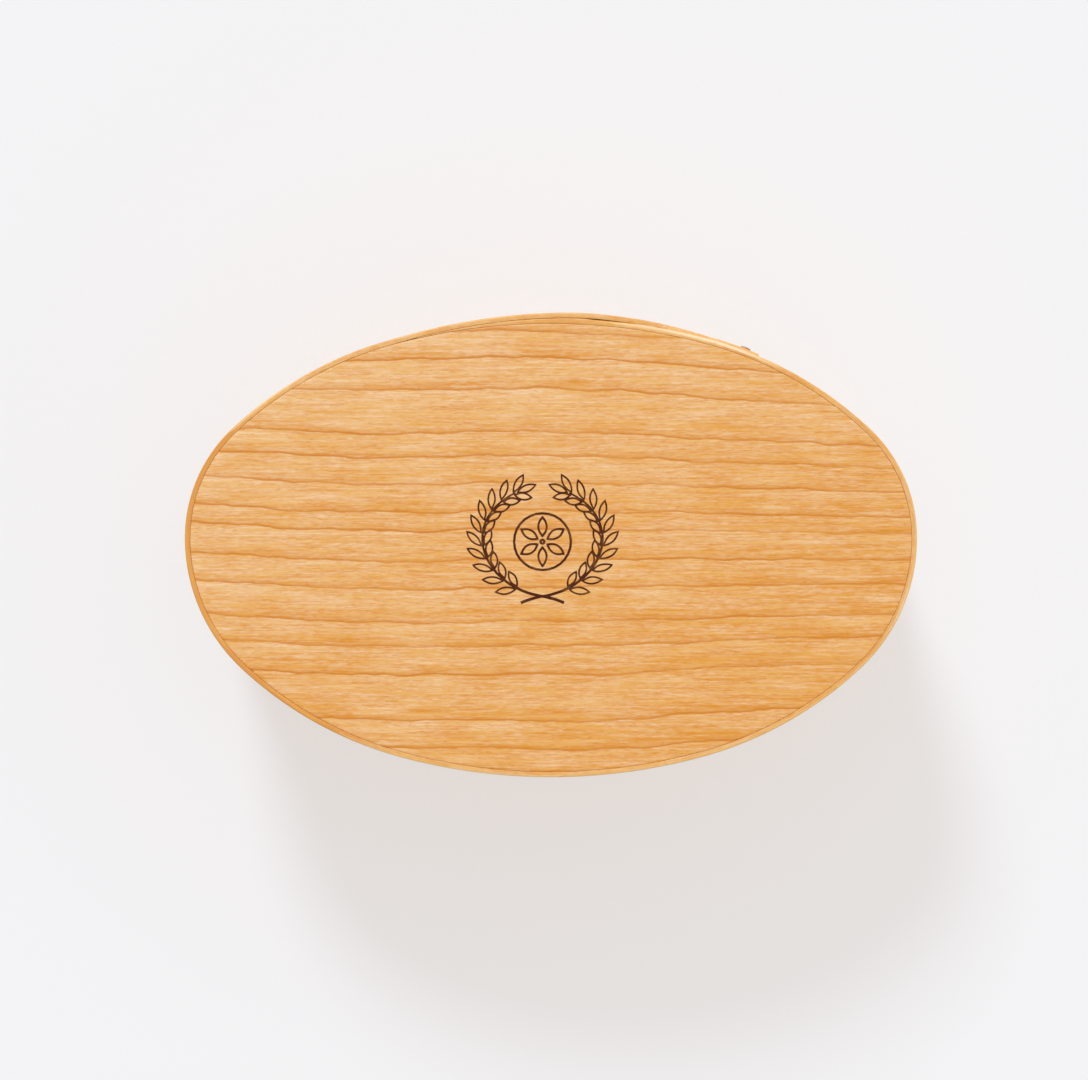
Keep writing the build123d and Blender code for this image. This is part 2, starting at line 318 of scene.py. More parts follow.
class OvalBoxStudio(bpy.types.PropertyGroup):
    """The camera, the lights and the ground."""

    camera_height: bpy.props.FloatProperty(
        name="Camera height", description="From the lid up to the camera",
        default=1.0, unit="LENGTH",
    )
    view_width: bpy.props.FloatProperty(
        name="View width", description="What the camera takes in across, level with the lid",
        default=268.2 * MM, unit="LENGTH",
    )
    view_centre: bpy.props.FloatVectorProperty(
        name="View centre", description="The point below the camera",
        default=(1.72 * MM, -1.9 * MM), size=2, unit="LENGTH",
    )
    key_energy: bpy.props.FloatProperty(
        name="Key light", description="Strength of the light from the front left, as a share",
        default=0.33,
    )
    key_spread: bpy.props.FloatProperty(
        name="Key spread", description="How wide the key light looks from the box",
        default=math.radians(14), subtype="ANGLE",
    )
    key_elevation: bpy.props.FloatProperty(
        name="Key elevation", description="How high the key light stands",
        default=math.radians(39.5), subtype="ANGLE",
    )
    key_azimuth: bpy.props.FloatProperty(
        name="Key azimuth", description="Where the key light stands, round from +X",
        default=math.radians(-74), subtype="ANGLE",
    )
    ground: bpy.props.FloatVectorProperty(
        name="Ground", description="Colour of the ground",
        default=(0.904, 0.902, 0.920), subtype="COLOR", size=3,
    )
    fill: bpy.props.FloatVectorProperty(
        name="Fill", description="Colour of the light from all round. The key light makes up what it lacks",
        default=(1.000, 0.970, 0.925), subtype="COLOR", size=3,
    )
    fill_lean: bpy.props.FloatProperty(
        name="Fill lean",
        description="How much brighter the light from all round is at the right, as a share",
        default=0.30,
    )
    evenness: bpy.props.FloatVectorProperty(
        name="Evenness", description="Shares of the ground's colour that shade and glow don't change",
        default=(0.600, 0.565, 0.540), size=3,
    )


# The oval and the lap


def slope(share, blend=0.15):
    """From 0 to 1 in a straight line that is rounded in, level, at both ends."""
    share = min(max(share, 0.0), 1.0)
    if share > 0.5:
        return 1 - slope(1 - share, blend)
    if share < blend:
        return share**2 / (2 * blend * (1 - blend))
    return (share - blend / 2) / (1 - blend)


def outward(angle):
    """The level unit vector at an angle from +X."""
    return Vector((math.cos(angle), math.sin(angle), 0))


def quarter_arcs(sizes, half_length, depth):
    """The (radius, turn) of the arcs from the middle of a side to the end of the oval.

    The shoulder's radius is a share of the side's and of the end's, so that the quarter's length
    and depth are two sums of those two radii, which are solved for them here.
    """
    first = outward(math.pi / 2 - sizes.side_turn)
    step = outward(math.pi / 2 - sizes.shoulder_turn) - first
    share = sizes.shoulder_share
    side_run = first.x + share * step.x
    side_drop = 1 - first.y - share * step.y
    scale = side_run - side_drop
    side = (half_length * (1 - side_drop) - depth * (1 - side_run)) / scale
    end = (depth * side_run - half_length * side_drop) / scale
    shoulder = share * side + (1 - share) * end
    turns = (sizes.side_turn, sizes.shoulder_turn - sizes.side_turn, math.pi / 2 - sizes.shoulder_turn)
    return tuple(zip((side, shoulder, end), turns))


class Oval:
    """A closed oval of tangent arcs, with its ends level with each other.

    Places along it are distances from the middle of the front, towards +X. Front and back say how
    far those sides lie from the line between its ends.
    """

    def __init__(self, sizes, half_length, front, back):
        front_quarter = quarter_arcs(sizes, half_length, front)
        back_quarter = quarter_arcs(sizes, half_length, back)
        self.arcs = []
        self.length = 0.0
        angle = -math.pi / 2
        point = Vector((0, -front - sizes.ends_forward, 0))
        for radius, turn in (*front_quarter, *back_quarter[::-1], *back_quarter, *front_quarter[::-1]):
            centre = point - outward(angle) * radius
            start = self.length
            self.length += radius * turn
            self.arcs.append(
                {"centre": centre, "radius": radius, "angle": angle, "start": start, "stop": self.length}
            )
            angle += turn
            point = centre + outward(angle) * radius

    def arc_at(self, place):
        place %= self.length
        return next((arc for arc in self.arcs if place <= arc["stop"]), self.arcs[-1])

    def facing(self, place):
        """The direction in which the oval faces outwards."""
        arc = self.arc_at(place)
        return outward(arc["angle"] + (place % self.length - arc["start"]) / arc["radius"])

    def at(self, place, offset, level):
        point = self.arc_at(place)["centre"] + self.facing(place) * (self.arc_at(place)["radius"] + offset)
        return point + Vector((0, 0, level))

    def stand(self, place, offset, level):
        """The matrix that stands a piece on the oval: X along the band, Y up and Z outwards."""
        facing = self.facing(place)
        turned = Matrix(((-facing.y, 0, facing.x), (facing.x, 0, facing.y), (0, 1, 0)))
        return Matrix.Translation(self.at(place, offset, level)) @ turned.to_4x4()


def lap_rise(sizes):
    """How far the inside of the fingers lies off the oval."""
    return sizes.strip + sizes.layer_gap


def lid_oval(sizes):
    """The oval inside the lid's band, which is the outline of its board."""
    half = (LID_BOARD_HIGH - LID_BOARD_LOW) / 2
    return Oval(sizes, half.x, half.y - sizes.ends_forward, half.y + sizes.ends_forward)


def box_oval(sizes):
    """The oval inside the box's band, which leaves room for the box's lap inside the lid."""
    half = (LID_BOARD_HIGH - LID_BOARD_LOW) / 2
    inset = sizes.strip + sizes.lid_clearance
    front = half.y - sizes.ends_forward - inset - lap_rise(sizes) - sizes.hollow_depth
    return Oval(sizes, half.x - inset, front, half.y + sizes.ends_forward - inset)


def outer_layer_rise(sizes, place):
    """How far the inside of the outer layer lies off the oval, along the lap."""
    full = lap_rise(sizes) + sizes.hollow_depth
    rise_start = sizes.hollow_start + sizes.rise_length
    hollow = (sizes.hollow_start - place) / (sizes.hollow_start - sizes.hollow_end)
    return full * slope((rise_start - place) / sizes.rise_length) - sizes.hollow_depth * slope(hollow)


def inner_layer_rise(sizes, place):
    """How far the outside of the inner layer lies off the oval, to its feathered edge."""
    pressed = outer_layer_rise(sizes, place) - sizes.layer_gap
    heel = slope((place - sizes.hollow_start) / sizes.heel_length)
    return sizes.strip + (pressed - sizes.strip) * heel


def outer_face(sizes, place):
    """How far the outside of the outer layer lies off the oval, thinner towards the fingers' ends."""
    thinning_start = sizes.finger_tips + sizes.finger_length + 6 * MM
    thinning_run = 20 * MM
    shaved = sizes.finger_thinning * slope((thinning_start - place) / thinning_run)
    return outer_layer_rise(sizes, place) + sizes.strip - shaved


def spread(low, high, count):
    return [low + (high - low) * k / (count - 1) for k in range(count)]


# Materials


class Value:
    """An output of a node. Arithmetic on it adds Math nodes."""

    def __init__(self, nodes, socket):
        self.nodes = nodes
        self.socket = socket

    def math(self, operation, *values):
        names = ("Value", "Value_001", "Value_002")
        return self.nodes.add("Math", {"operation": operation}, dict(zip(names, values)), "Value")

    def __add__(self, other):
        return self.math("ADD", self, other)

    def __radd__(self, other):
        return self.math("ADD", other, self)

    def __sub__(self, other):
        return self.math("SUBTRACT", self, other)

    def __rsub__(self, other):
        return self.math("SUBTRACT", other, self)

    def __mul__(self, other):
        return self.math("MULTIPLY", self, other)

    def __rmul__(self, other):
        return self.math("MULTIPLY", other, self)

    def __lt__(self, other):
        return self.math("LESS_THAN", self, other)

    def least(self, other):
        return self.math("MINIMUM", self, other)

    def most(self, other):
        return self.math("MAXIMUM", self, other)

    def ease(self, low, high):
        """0 at low, 1 at high, and an S between them."""
        values = {"Value": self, "From Min": low, "From Max": high}
        return self.nodes.add("MapRange", {"interpolation_type": "SMOOTHSTEP"}, values, "Result")

    def stretch(self, start, full, fading, end):
        """1 from full to fading, easing in from the start and out to the end, in millimetres."""
        return self.ease(start * MM, full * MM) * self.ease(end * MM, fading * MM)


class Nodes:
    """The nodes of one material or world."""

    def __init__(self, owner):
        owner.use_nodes = True
        self.owner = owner
        self.tree = owner.node_tree

    def add(self, kind, settings, values, output):
        """A new node's output. Its settings are set first, then its sockets' values or links."""
        node = self.tree.nodes.new("ShaderNode" + kind)
        for name, setting in settings.items():
            setattr(node, name, setting)
        for name, value in values.items():
            self.feed(next(socket for socket in node.inputs if socket.identifier == name), value)
        return Value(self, next(socket for socket in node.outputs if socket.identifier == output))

    def feed(self, socket, value):
        if isinstance(value, Value):
            self.tree.links.new(value.socket, socket)
        elif socket.type == "RGBA":
            socket.default_value = (*value, 1.0)
        else:
            socket.default_value = value

    def finish(self, **values):
        """Feeds the surface's own sockets, named with spaces as underscores."""
        surface = self.tree.nodes["Principled BSDF"]
        for name, value in values.items():
            self.feed(surface.inputs[name.replace("_", " ")], value)
        return self.owner

    def object_position(self):
        return self.add("TexCoord", {}, {}, "Object")

    def attribute(self, name):
        return self.add("Attribute", {"attribute_name": name}, {}, "Vector")

    def parts(self, vector):
        return [self.add("SeparateXYZ", {}, {"Vector": vector}, axis) for axis in "XYZ"]

    def noise(self, position, size, shift=0.0, detail=2.0):
        """Noise with grain of this length, height and depth, in millimetres, its own for each shift."""
        scale = tuple(1 / (length * MM) for length in size)
        place = (shift, -shift, shift)
        moved = self.add("Mapping", {}, {"Vector": position, "Scale": scale, "Location": place}, "Vector")
        return self.add("TexNoise", {}, {"Vector": moved, "Scale": 1.0, "Detail": detail}, "Fac")

    def mix(self, share, first, second):
        values = {"Factor_Float": share, "A_Color": first, "B_Color": second}
        return self.add("Mix", {"data_type": "RGBA"}, values, "Result_Color")

    def bump(self, height, depth):
        return self.add("Bump", {}, {"Height": height, "Distance": depth, "Strength": 1.0}, "Normal")


def line_ahead(grain, lines, softness):
    """The distance to the next growth line, counting each until it is passed by the softness."""
    far = 1.0
    nearest = None
    for line in lines:
        gap = line * MM - grain
        gap = gap.math("MULTIPLY_ADD", gap < -softness, far, gap)
        nearest = gap if nearest is None else nearest.least(gap)
    return nearest


def wavy_grain(position, shift, sway):
    """The height across the wood, bent by the sway and roughened, and narrower to one side."""
    nodes = position.nodes
    along, across, _ = nodes.parts(position)
    wander = nodes.noise(position, (62, 95, 400), shift, detail=0.0) - 0.5
    ripple = nodes.noise(position, (13, 22, 400), shift, detail=2.0) - 0.5
    rough = nodes.noise(position, (4.0, 1.2, 400), shift + 17, detail=3.0) - 0.5
    narrowing_start, narrowing_run = 5 * MM, 60 * MM
    narrowing = ((along * -1.0 - narrowing_start) * (1 / narrowing_run)).most(0.0)
    grain = across * (1 + 0.04 * narrowing * narrowing) + sway * (wander * 0.7 + ripple * 0.24)
    return grain + rough * (0.7 * MM)


def year_growth(position, lines, shift, sway):
    """How much of the wood is late growth, drawn as a line, and how far it deepens towards that."""
    nodes = position.nodes
    softness = 0.24 * MM
    ahead = line_ahead(wavy_grain(position, shift, sway), lines, softness)
    past = ahead.ease(-softness, 0.0)
    strength = nodes.noise(position, (45, 7, 60), shift + 3, detail=2.0).ease(0.25, 0.65) * 0.5 + 0.5
    core = ahead.ease(0.62 * MM, 0.05 * MM)
    fringe = ahead.ease(2.2 * MM, 0.2 * MM)
    return past * strength * (core * 0.78 + fringe * 0.22), past * ahead.ease(6 * MM, 0.0)


def cherry(position, fibres, growth_line, lines, shift, sway, heart_and_painted_light):
    """Cherry wood. Each year's growth deepens towards a line and starts light again past it.

    Fibres are its deepest, palest and yellowest colours. Heart_and_painted_light says where it is deeper or
    paler all through, from the tree's core and from painted shade and light.
    """
    nodes = position.nodes
    late, deepening = year_growth(position, lines, shift, sway)
    short = nodes.noise(position, (2.0, 0.30, 0.30), shift, detail=2.0) - 0.5
    long = nodes.noise(position, (15.0, 0.46, 0.8), shift + 7, detail=4.0) - 0.5
    clouds = nodes.noise(position, (14.0, 3.4, 16.0), shift + 11, detail=2.0) - 0.5
    honey = nodes.noise(position, (12.0, 0.7, 0.8), shift + 23, detail=2.0).ease(0.42, 0.66)
    flecks = nodes.noise(position, (1.7, 0.20, 0.4), shift + 31, detail=0.0).ease(0.68, 0.78)
    tone = short * 1.05 + long * 1.1 + clouds * 0.6 - deepening * 0.12 - heart_and_painted_light
    deep, pale, warm = fibres
    colour = nodes.mix(tone.ease(-0.62, 0.52), deep, pale)
    colour = nodes.mix(honey * 0.5, colour, warm)
    colour = nodes.mix((late + flecks * 0.4).least(1.0) * 0.95, colour, growth_line)
    height = short * 0.6 + late * 0.5
    return nodes.finish(
        Base_Color=colour, Roughness=0.44 + short * 0.14 - late * 0.06,
        Normal=nodes.bump(height, 0.02 * MM), Specular_IOR_Level=0.4,
    )


def board_wood(name, colours, lines, shift):
    """A sawn board, deeper towards the core of the tree."""
    nodes = Nodes(bpy.data.materials.new(name))
    position = nodes.object_position()
    along, across, _ = nodes.parts(position)
    deepening = 0.1 / (50 * MM)
    heart_and_painted_light = (across * 0.9 - along * 0.45) * deepening + 0.045
    fibres = (colours.deep_fibre, colours.pale_fibre, colours.honey)
    return cherry(position, fibres, colours.growth_line, lines, shift, BOARD_SWAY, heart_and_painted_light)


def band_wood(name, colours, lines, shift):
    """A bent strip, yellower than the boards.

    The lid's rim is deeper at one end. The lap's hollow gets painted shade, the outer corner along the back
    painted light, and the edge by the finger a painted highlight.
    Stretches along it are counted from its feathered end, and depths from its inner face.
    """
    nodes = Nodes(bpy.data.materials.new(name))
    position = nodes.attribute(STRIP_GRAIN)
    along, across, through = nodes.parts(position)
    rim = across.ease(LID_TOP - 2.5 * MM, LID_TOP - 0.2 * MM)
    # Painted light: the rim's outer corner along the back, on the side away from the key light, is painted
    # paler to lift its shade.
    painted_light_corner = along.stretch(110, 160, 420, 450) * through.ease(0.3 * MM, 1.3 * MM)
    deep_end = along.stretch(300, 340, 396, 420)
    # Painted shade: the wood in the hollow between the lap's two layers is painted deeper, where shade
    # falls.
    hollow = along.stretch(42, 44, 52, 57) * through.ease(1.0 * MM, 1.2 * MM)
    # Painted highlight: the inner layer's rounded edge beside the lid's finger is painted paler and cream,
    # for the key light's sheen.
    bared = along.stretch(46, 52, 82, 92) * through.ease(0.5 * MM, 0.62 * MM)
    heart_and_painted_light = rim * (deep_end * 1.2 + hollow - bared * 0.75 - painted_light_corner * 0.5 + 0.15)
    pale = nodes.mix(rim * bared, colours.pale_strip, colours.painted_sheen)
    fibres = (colours.deep_strip, pale, colours.honey)
    return cherry(position, fibres, colours.strip_line, lines, shift, STRIP_SWAY, heart_and_painted_light)


def end_grain(name, colours):
    """The end of a whittled peg: fine pores, close together."""
    nodes = Nodes(bpy.data.materials.new(name))
    position = nodes.object_position()
    pores = nodes.noise(position, (0.16, 0.16, 0.16)).ease(0.48, 0.68)
    tone = nodes.noise(position, (1.1, 1.1, 1.1), 4.0)
    colour = nodes.mix(tone, colours.peg, colours.growth_line)
    colour = nodes.mix(pores * 0.6, colour, colours.pore)
    return nodes.finish(
        Base_Color=colour, Roughness=0.6 + pores * 0.2, Normal=nodes.bump(1 - pores, 0.03 * MM),
        Specular_IOR_Level=0.3,
    )


def hammered_copper(name, colours):
    """Copper that has darkened in its hollows and is rubbed bright where it was struck."""
    nodes = Nodes(bpy.data.materials.new(name))
    position = nodes.object_position()
    dents = nodes.noise(position, (0.75, 0.75, 0.75), 2.0, detail=1.0)
    stain = nodes.noise(position, (1.5, 1.5, 1.5), 9.0, detail=3.0).ease(0.35, 0.65)
    colour = nodes.mix(stain * 0.7, colours.copper, colours.tarnish)
    return nodes.finish(
        Base_Color=colour, Metallic=1.0, Roughness=0.34 + stain * 0.24,
        Normal=nodes.bump(dents, 0.12 * MM),
    )


def burned_wood(name, colours):
    """Burned lines, darker and lighter as the hot point lingered."""
    nodes = Nodes(bpy.data.materials.new(name))
    position = nodes.object_position()
    linger = nodes.noise(position, (1.8, 1.8, 1.8), 1.0, detail=2.0).ease(0.4, 0.75)
    char = nodes.noise(position, (0.2, 0.12, 0.2), 6.0, detail=1.0)
    colour = nodes.mix(linger * 0.35, colours.burn, colours.pore)
    return nodes.finish(
        Base_Color=colour, Roughness=0.75 + (char - 0.5) * 0.2, Normal=nodes.bump(char, 0.02 * MM),
        Specular_IOR_Level=0.1,
    )


def finish_piece(bm, name, material, body, slot, *nodes):
    """Makes a piece of a bmesh, which rides on a body and stands for these CAD nodes."""
    bmesh.ops.recalc_face_normals(bm, faces=bm.faces)
    mesh = bpy.data.meshes.new(name)
    bm.to_mesh(mesh)
    bm.free()
    mesh.shade_smooth()
    mesh.set_sharp_from_angle(angle=SMOOTH_BELOW)
    mesh.materials.append(material)
    piece = bpy.data.objects.new(name, mesh)
    bpy.context.scene.collection.objects.link(piece)
    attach(piece, body)
    if nodes:
        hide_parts(*nodes)


def edges_of(verts):
    """The edges of these vertices, each once and always in the same order."""
    return list(dict.fromkeys(edge for vert in verts for edge in vert.link_edges))


def add_part(piece, part, matrix):
    """Moves a finished part into place and adds it to a piece of several."""
    bmesh.ops.transform(part, matrix=matrix, verts=part.verts)
    mesh = bpy.data.meshes.new("part")
    part.to_mesh(mesh)
    part.free()
    piece.from_mesh(mesh)
    bpy.data.meshes.remove(mesh)


# Bands


def flat_strip(length, zone, levels):
    """A flat sheet, X along it and Z up, whose columns are closer together in its last zone."""
    columns = STRIP_COLUMNS + FINGER_COLUMNS
    rows = len(levels) - 1
    bm = bmesh.new()
    bmesh.ops.create_grid(bm, x_segments=columns, y_segments=rows, size=0.5)
    for vert in bm.verts:
        column = round((vert.co.x + 0.5) * columns)
        row = round((vert.co.y + 0.5) * rows)
        before_zone = (length - zone) * min(column / STRIP_COLUMNS, 1)
        vert.co = (before_zone + zone * max(column - STRIP_COLUMNS, 0) / FINGER_COLUMNS, 0, levels[row])
    return bm


class Fingers:
    """The swallowtail fingers at one end of a flat strip, parted by notches like pointed arches."""

    def __init__(self, sizes, length, base, room, count, tip):
        self.length = length
        self.reach = sizes.finger_length
        self.root = length - self.reach
        self.base = base
        self.top = base + room
        self.count = count
        self.pitch = room / count
        self.half_notch = (self.pitch - tip) / 2
        self.radius = (self.reach**2 + self.half_notch**2) / (2 * self.half_notch)

    def notch(self, run):
        """How far a finger's side stands back from the middle of the notch."""
        from_tip = self.length - run
        return math.sqrt(self.radius**2 - from_tip**2) - self.radius + self.half_notch

    def middle(self, level):
        """The level of the middle of the finger that this level is on."""
        number = min(int((level - self.base) / self.pitch), self.count - 1)
        return self.base + self.pitch * (number + 0.5)

    def rows(self, top):
        """Levels for the strip's rows: close to every edge, and further apart between them."""
        across_finger = (0.08, 0.29, 0.5, 0.71, 0.92, 1.0)
        above_fingers = (0.08, 0.5, 0.92, 1.0)
        levels = [self.base]
        for number in range(self.count):
            low = self.base + self.pitch * number
            levels += [low + self.pitch * share for share in across_finger]
        if top > self.top:
            levels += [self.top + (top - self.top) * share for share in above_fingers]
        return levels

    def cut(self, bm, lean):
        """Parts the strip's end into fingers and takes away what stands above them."""
        above = [
            face for face in bm.faces
            if face.calc_center_median().z > self.top and face.calc_center_median().x > self.root
        ]
        bmesh.ops.delete(bm, geom=above, context="FACES")
        borders = [self.base + self.pitch * k for k in range(1, self.count)]
        parted = [
            edge for edge in bm.edges
            if min(vert.co.x for vert in edge.verts) > self.root - NEAR
            and any(all(abs(vert.co.z - border) < NEAR for vert in edge.verts) for border in borders)
        ]
        bmesh.ops.split_edges(bm, edges=parted)
        self.narrow(bm)
        lean_run = 3 * lean
        for vert in bm.verts:
            if vert.co.z > self.top + NEAR:
                share = (vert.co.z - self.top) / (LID_TOP - self.top)
                vert.co.x -= lean * share * slope((vert.co.x - self.root) / lean_run + 1)

    def narrow(self, bm):
        """Draws the sides of each finger in towards its middle."""
        levels = {}
        for vert in bm.verts:
            if vert.co.x > self.root and vert.co.z < self.top + NEAR:
                inside = sum(face.calc_center_median().z for face in vert.link_faces) / len(vert.link_faces)
                middle = self.middle(inside)
                share = 1 - 2 * self.notch(vert.co.x) / self.pitch
                levels[vert] = middle + (vert.co.z - middle) * share
        for vert, level in levels.items():
            vert.co.z = level

    def slope_sides(self, verts, bevel):
        """Draws the outside of each finger in a little more, so that its sides slope."""
        fading_run = 4 * MM
        for vert in verts:
            if vert.co.x > self.root and vert.co.z < self.top:
                middle = self.middle(vert.co.z)
                half_width = self.pitch / 2 - self.notch(vert.co.x)
                share = (vert.co.z - middle) / half_width
                fading = min((vert.co.x - self.root) / fading_run, 1)
                vert.co.z -= bevel * fading * share


def make_band(sizes, oval, base, top, room, count, tip):
    """A strip with fingers cut in one end, thickened, its edges rounded, and bent round an oval."""
    length = sizes.hollow_start + sizes.feather_length - sizes.finger_tips + oval.length
    fingers = Fingers(sizes, length, base, room, count, tip)
    bm = flat_strip(length, sizes.finger_length, fingers.rows(top))
    fingers.cut(bm, sizes.shoulder_slant)
    inner = set(bm.verts)
    bmesh.ops.extrude_face_region(bm, geom=bm.faces[:], use_keep_orig=True)
    outer = [vert for vert in bm.verts if vert not in inner]
    bmesh.ops.translate(bm, verts=outer, vec=(0, sizes.strip, 0))
    fingers.slope_sides(outer, sizes.finger_bevel)
    bmesh.ops.recalc_face_normals(bm, faces=bm.faces)
    shown = [edge for edge in sharp_edges(bm) if min(vert.co.y for vert in edge.verts) > sizes.strip / 2]
    round_edges(bm, shown, sizes.edge_round)
    round_edges(bm, sharp_edges(bm), sizes.edge_ease)
    for vert in bm.verts:
        vert.co.z = max(vert.co.z, base)
    sand_lap(bm, sizes, length, top)
    bend(bm, sizes, oval)
    return bm


def sand_lap(bm, sizes, length, top):
    """Sands the lap's upper edge: rounder on the inner layer, and lower on the outer one."""
    turned_in = sizes.hollow_start + sizes.feather_length
    baring_run = 12 * MM
    baring_start = turned_in - sizes.hollow_end - baring_run
    fading_run = 20 * MM
    fading_end = turned_in - sizes.finger_tips + 25 * MM
    drop_run = 8 * MM
    drop_start = length - (sizes.hollow_end - sizes.finger_tips) - 6 * MM
    sanded_depth, sanded_run = 3 * MM, 2.5 * MM
    rounded = 1.01 * sizes.edge_round
    baring_share = 1.1
    for vert in bm.verts:
        run, depth, level = vert.co
        inwards = sizes.strip - depth
        if inwards < rounded and level > top - rounded:
            bared = slope((run - baring_start) / baring_run) * slope((fading_end - run) / fading_run)
            vert.co.y -= inwards * baring_share * bared
        lowered = slope((run - drop_start) / drop_run) * slope((level - top + sanded_depth) / sanded_run)
        vert.co.z -= sizes.lap_sanding * lowered


def sharp_edges(bm):
    """Every edge that stands out sharply."""
    return [
        edge for edge in bm.edges
        if edge.is_manifold and edge.is_convex and edge.calc_face_angle() > SHARP_ABOVE
    ]


def round_edges(bm, edges, radius, segments=3):
    bmesh.ops.bevel(
        bm, geom=edges, offset=radius, offset_type="OFFSET", segments=segments, profile=0.5,
        affect="EDGES", clamp_overlap=True, material=-1,
    )


def bend(bm, sizes, oval):
    """Bends the flat strip round the oval, its feathered end first and its fingers last."""
    grain = bm.verts.layers.float_vector.new(STRIP_GRAIN)
    for vert in bm.verts:
        run, depth, level = vert.co
        vert[grain] = (run, level, depth)
        place = sizes.hollow_start + sizes.feather_length - run
        inside, outside = 0.0, sizes.strip
        if place > sizes.hollow_start:
            outside = inner_layer_rise(sizes, place)
        if place + oval.length < sizes.hollow_start + sizes.rise_length:
            inside = outer_layer_rise(sizes, place + oval.length)
            outside = outer_face(sizes, place + oval.length)
        vert.co = oval.at(place, inside + (outside - inside) * depth / sizes.strip, level)


class OVALBOX_OT_bands(bpy.types.Operator):
    """Bend the strips of the box and the lid, lapped in front"""

    bl_idname = "ovalbox.bands"
    bl_label = "Bend the bands"

    def execute(self, context):
        sizes = context.scene.oval_box_sizes
        colours = context.scene.oval_box_colours
        box = make_band(sizes, box_oval(sizes), 0, BOX_TOP, LID_BASE, BOX_FINGERS, sizes.box_finger_tip)
        wood = band_wood("box_band_cherry", colours, BOX_BAND_LINES, shift=3.7)
        finish_piece(box, "box_bent_strip", wood, "box", "box_band_wood", "box_band")
        height = LID_TOP - LID_BASE
        lid = make_band(
            sizes, lid_oval(sizes), LID_BASE, LID_TOP, height, LID_FINGERS, sizes.lid_finger_tip,
        )
        wood = band_wood("lid_band_cherry", colours, LID_BAND_LINES, shift=8.1)
        finish_piece(lid, "lid_bent_strip", wood, "lid", "lid_band_wood", "lid_band")
        return {"FINISHED"}


# Boards


def make_board(sizes, oval, low, high):
    """A flat board cut to the oval, a hair smaller, with softened edges."""
    softened = 0.25 * MM
    margin = 0.5 * MM
    bm = bmesh.new()
    rim = bmesh.ops.create_circle(bm, cap_ends=True, segments=BOARD_POINTS, radius=1.0)["verts"]
    for vert in rim:
        turn = math.atan2(vert.co.y, vert.co.x) / (2 * math.pi)
        vert.co = oval.at(oval.length * turn, -sizes.seam, low)
    lower = set(bm.verts)
    bmesh.ops.extrude_face_region(bm, geom=bm.faces[:], use_keep_orig=True)
    upper = [vert for vert in bm.verts if vert not in lower]
    bmesh.ops.translate(bm, verts=upper, vec=(0, 0, high - low))
    bmesh.ops.recalc_face_normals(bm, faces=bm.faces)
    round_edges(bm, sharp_edges(bm), softened)
    flats = [face for face in bm.faces if len(face.verts) > 4]
    bmesh.ops.inset_individual(bm, faces=flats, thickness=margin, use_even_offset=True)
    return bm


class OVALBOX_OT_boards(bpy.types.Operator):
    """Cut the lid's top board and the box's bottom board"""

    bl_idname = "ovalbox.boards"
    bl_label = "Cut the boards"

    def execute(self, context):
        sizes = context.scene.oval_box_sizes
        colours = context.scene.oval_box_colours
        settled = 0.04 * MM
        top = make_board(sizes, lid_oval(sizes), LID_BOARD_LOW.z, LID_BOARD_HIGH.z - settled)
        wood = board_wood("lid_board_cherry", colours, LID_BOARD_LINES, shift=0.0)
        finish_piece(top, "lid_top_board", wood, "lid", "lid_board_wood", "lid_board")
        bottom = make_board(sizes, box_oval(sizes), BOX_BOARD_LOW.z + settled, BOX_BOARD_HIGH.z)
        wood = board_wood("box_board_cherry", colours, BOX_BOARD_LINES, shift=5.3)
        finish_piece(bottom, "box_bottom_board", wood, "box", "box_board_wood", "box_board")
        return {"FINISHED"}


# Tacks


def add_tack(piece, sizes, matrix, height, depth, seed):
    """A tack: a hammered head, a square shank and, inside, its point turned over flat."""
    dent_size = 0.8 * MM
    bm = bmesh.new()
    profile = ((0.0, 1.0), (0.4, 0.98), (0.72, 0.88), (0.92, 0.66), (1.0, 0.34), (0.96, 0.0), (0.0, 0.0))
    verts = [bm.verts.new((sizes.tack_radius * out, 0, height * up)) for out, up in profile]
    edges = [bm.edges.new(pair) for pair in zip(verts, verts[1:])]
    bmesh.ops.spin(
        bm, geom=verts + edges, cent=(0, 0, 0), axis=(0, 0, 1), angle=2 * math.pi, steps=20,
        use_merge=True,
    )
    bmesh.ops.remove_doubles(bm, verts=bm.verts, dist=NEAR)
    for vert in bm.verts:
        dent = noise.noise(vert.co / dent_size + Vector((seed, -seed, seed)))
        vert.co.x *= 0.97 + 0.06 * dent
        vert.co.y *= 0.97 - 0.06 * dent
        vert.co.z *= 0.92 + 0.10 * dent
    add_shank(bm, sizes, depth)
    add_part(piece, bm, matrix)


def add_shank(bm, sizes, depth):
    """The square shank and its tapered point, hammered flat and partly sunk into the wood."""
    width = sizes.shank
    flat = 0.24 * MM
    sunk = 0.17 * MM
    taper = 0.4
    shank = Matrix.Translation((0, 0, -depth / 2)) @ Matrix.Diagonal((width, width, depth, 1))
    bmesh.ops.create_cube(bm, size=1.0, matrix=shank)
    centre = (sizes.clinch / 2, 0, sunk - flat / 2 - depth)
    clinch = Matrix.Translation(centre) @ Matrix.Diagonal((sizes.clinch, width, flat, 1))
    point = bmesh.ops.create_cube(bm, size=1.0, matrix=clinch)["verts"]
    for vert in point:
        if vert.co.x > sizes.clinch / 2:
            vert.co.y *= taper
    round_edges(bm, edges_of(point), flat / 4, segments=2)


